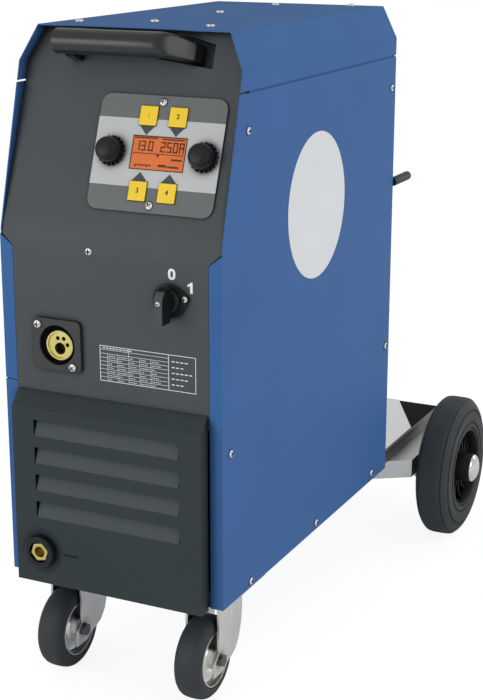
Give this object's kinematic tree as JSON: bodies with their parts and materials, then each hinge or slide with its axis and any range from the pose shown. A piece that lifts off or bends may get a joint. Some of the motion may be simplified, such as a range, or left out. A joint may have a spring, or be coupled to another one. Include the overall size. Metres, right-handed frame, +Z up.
{
  "type": "mig welder on cart",
  "caption": "Compact MIG welding machine on a cart: leaning control panel, carry handle, side door to the wire feed, two swivel casters, two rear wheels and a gas bottle tray.",
  "frame": {"origin": "on the floor under the centre of the machine's box", "axes": "+Z up, the control panel faces -Y, +X is the right-hand side as seen from the front"},
  "size_m": [0.4666, 0.7832, 0.771],
  "materials": {
    "blue_paint": "semi-gloss powder coat",
    "dark_paint": "satin powder coat",
    "dark_plastic": "fine grain",
    "black_plastic": "satin",
    "grey_plastic": "satin",
    "yellow_plastic": "smooth",
    "orange_window": "clear over an orange display",
    "circuit_board": "lacquered",
    "brass": "turned",
    "zinc": "zinc plated",
    "galvanised": "galvanised",
    "steel": "ground",
    "chrome": "polished",
    "rubber": "moulded rubber",
    "cast_iron": "varnished laminations and winding",
    "aluminium": "extruded"
  },
  "bodies": {
    "cabinet": {"chassis_base": "galvanised", "side_panel_right": "blue_paint", "side_panel_left": "blue_paint", "top_cover": "blue_paint", "rear_panel": "blue_paint", "inner_frame": "galvanised", "front_panel_upper": "dark_plastic", "front_panel_lower": "dark_paint", "control_plate": "grey_plastic", "display_window": "orange_window", "control_board": "circuit_board", "carry_handle": "dark_plastic", "switch_body": "black_plastic", "euro_socket_flange": "black_plastic", "euro_socket_core": "brass", "ground_socket_ring": "black_plastic", "ground_socket_core": "brass", "caster_plate_left": "zinc", "caster_plate_right": "zinc", "rear_axle": "steel", "hub_cap_left": "chrome", "hub_cap_right": "chrome", "axle_carrier": "galvanised", "bottle_tray": "dark_paint", "tray_floor_plate": "galvanised", "bottle_bracket": "dark_paint", "cable_gland": "black_plastic", "gas_inlet": "brass", "spool_mandrel": "black_plastic", "feed_drive": "aluminium", "fan_motor": "dark_paint", "transformer": "cast_iron", "rectifier": "aluminium"},
    "door": {"side_door": "blue_paint"},
    "latch_front": {"door_latch_front": "black_plastic"},
    "latch_rear": {"door_latch_rear": "black_plastic"},
    "switch": {"switch_knob": "black_plastic"},
    "knob_left": {"encoder_knob_left": "black_plastic"},
    "knob_right": {"encoder_knob_right": "black_plastic"},
    "key_ul": {"key_upper_left": "yellow_plastic"},
    "key_ur": {"key_upper_right": "yellow_plastic"},
    "key_ll": {"key_lower_left": "yellow_plastic"},
    "key_lr": {"key_lower_right": "yellow_plastic"},
    "caster_left": {"caster_fork_left": "zinc", "caster_axle_left": "steel"},
    "caster_right": {"caster_fork_right": "zinc", "caster_axle_right": "steel"},
    "caster_wheel_left": {"caster_tyre_left": "rubber", "caster_rim_left": "chrome"},
    "caster_wheel_right": {"caster_tyre_right": "rubber", "caster_rim_right": "chrome"},
    "rear_wheel_left": {"rear_tyre_left": "rubber", "rear_rim_left": "black_plastic"},
    "rear_wheel_right": {"rear_tyre_right": "rubber", "rear_rim_right": "black_plastic"},
    "spool": {"wire_spool": "steel"},
    "feed_roller": {"drive_roller": "steel"},
    "feed_arm": {"pressure_arm": "dark_plastic"},
    "idler": {"pressure_roller": "steel"},
    "fan": {"fan_impeller": "black_plastic"}
  },
  "joints": [
    {"name": "door_hinge", "type": "hinge", "parent": "cabinet", "child": "door", "pos_m": [-0.1408, 0, 0.3726], "axis": [0, -1, 0], "range_deg": [0, 100]},
    {"name": "latch_front_turn", "type": "hinge", "parent": "door", "child": "latch_front", "pos_m": [-0.14, -0.24435, 0.695], "axis": [1, 0, 0], "range_deg": [0, 90]},
    {"name": "latch_rear_turn", "type": "hinge", "parent": "door", "child": "latch_rear", "pos_m": [-0.14, 0.03565, 0.695], "axis": [1, 0, 0], "range_deg": [0, 90]},
    {"name": "mains_switch_turn", "type": "hinge", "parent": "cabinet", "child": "switch", "pos_m": [0.077, -0.36435, 0.4894], "axis": [0, 1, 0], "range_deg": [0, 60]},
    {"name": "knob_left_turn", "type": "hinge", "parent": "cabinet", "child": "knob_left", "pos_m": [-0.0102, -0.32907, 0.63924], "axis": [0, -0.9389, 0.3442], "continuous": true},
    {"name": "knob_right_turn", "type": "hinge", "parent": "cabinet", "child": "knob_right", "pos_m": [0.1034, -0.32907, 0.63924], "axis": [0, -0.9389, 0.3442], "continuous": true},
    {"name": "key_upper_left_press", "type": "slide", "parent": "cabinet", "child": "key_ul", "axis": [0, 0.9389, -0.3442], "range_m": [0, 0.001], "stiffness_N_per_m": 800},
    {"name": "key_upper_right_press", "type": "slide", "parent": "cabinet", "child": "key_ur", "axis": [0, 0.9389, -0.3442], "range_m": [0, 0.001], "stiffness_N_per_m": 800},
    {"name": "key_lower_left_press", "type": "slide", "parent": "cabinet", "child": "key_ll", "axis": [0, 0.9389, -0.3442], "range_m": [0, 0.001], "stiffness_N_per_m": 800},
    {"name": "key_lower_right_press", "type": "slide", "parent": "cabinet", "child": "key_lr", "axis": [0, 0.9389, -0.3442], "range_m": [0, 0.001], "stiffness_N_per_m": 800},
    {"name": "caster_left_swivel", "type": "hinge", "parent": "cabinet", "child": "caster_left", "pos_m": [-0.093, -0.28735, 0.126], "axis": [0, 0, 1], "continuous": true},
    {"name": "caster_right_swivel", "type": "hinge", "parent": "cabinet", "child": "caster_right", "pos_m": [0.093, -0.28735, 0.126], "axis": [0, 0, 1], "continuous": true},
    {"name": "caster_left_roll", "type": "hinge", "parent": "caster_left", "child": "caster_wheel_left", "pos_m": [-0.093, -0.32335, 0.05], "axis": [1, 0, 0], "continuous": true},
    {"name": "caster_right_roll", "type": "hinge", "parent": "caster_right", "child": "caster_wheel_right", "pos_m": [0.093, -0.32335, 0.05], "axis": [1, 0, 0], "continuous": true},
    {"name": "rear_left_roll", "type": "hinge", "parent": "cabinet", "child": "rear_wheel_left", "pos_m": [-0.191, 0.28665, 0.1016], "axis": [1, 0, 0], "continuous": true},
    {"name": "rear_right_roll", "type": "hinge", "parent": "cabinet", "child": "rear_wheel_right", "pos_m": [0.191, 0.28665, 0.1016], "axis": [1, 0, 0], "continuous": true},
    {"name": "spool_turn", "type": "hinge", "parent": "cabinet", "child": "spool", "pos_m": [-0.07, -0.03435, 0.605], "axis": [1, 0, 0], "continuous": true},
    {"name": "drive_roller_turn", "type": "hinge", "parent": "cabinet", "child": "feed_roller", "pos_m": [-0.0635, -0.24435, 0.3985], "axis": [1, 0, 0], "continuous": true},
    {"name": "pressure_arm_lift", "type": "hinge", "parent": "cabinet", "child": "feed_arm", "pos_m": [-0.0545, -0.20935, 0.434], "axis": [-1, 0, 0], "range_deg": [0, 60]},
    {"name": "pressure_roller_turn", "type": "hinge", "parent": "feed_arm", "child": "idler", "pos_m": [-0.0635, -0.24435, 0.434], "axis": [1, 0, 0], "continuous": true},
    {"name": "fan_turn", "type": "hinge", "parent": "cabinet", "child": "fan", "pos_m": [0.064, 0.12465, 0.465], "axis": [0, 1, 0], "continuous": true}
  ],
  "couplings": [
    {"joint": "pressure_roller_turn", "follows": "drive_roller_turn", "ratio": -1.1562}
  ]
}
